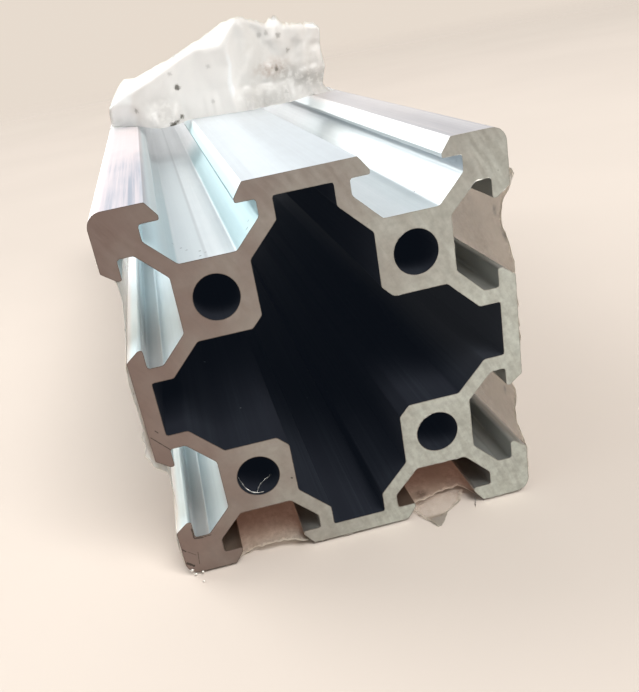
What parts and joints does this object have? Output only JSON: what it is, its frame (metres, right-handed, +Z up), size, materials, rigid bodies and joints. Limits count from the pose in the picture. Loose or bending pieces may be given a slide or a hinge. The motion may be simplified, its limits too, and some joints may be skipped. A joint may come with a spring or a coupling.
{
  "type": "aluminium extrusion profile",
  "caption": "Square aluminium slot profile with slots on every side, a cross-shaped cavity and end screw bores, in torn clear packing film.",
  "frame": {"origin": "under the middle of the piece, on the surface that it lies on", "axes": "+Y along the length, away from the sawn end that was pictured; +Z up, out of the side with the torn film; +X to the right"},
  "size_m": [0.0406, 0.15, 0.054],
  "materials": {
    "anodised_aluminium": "clear anodised, satin, with bare sawn ends",
    "clear_film": "thin clear stretch film, crumpled"
  },
  "bodies": {
    "root": {"extrusion_profile": "anodised_aluminium", "packing_film": "clear_film"}
  },
  "joints": []
}
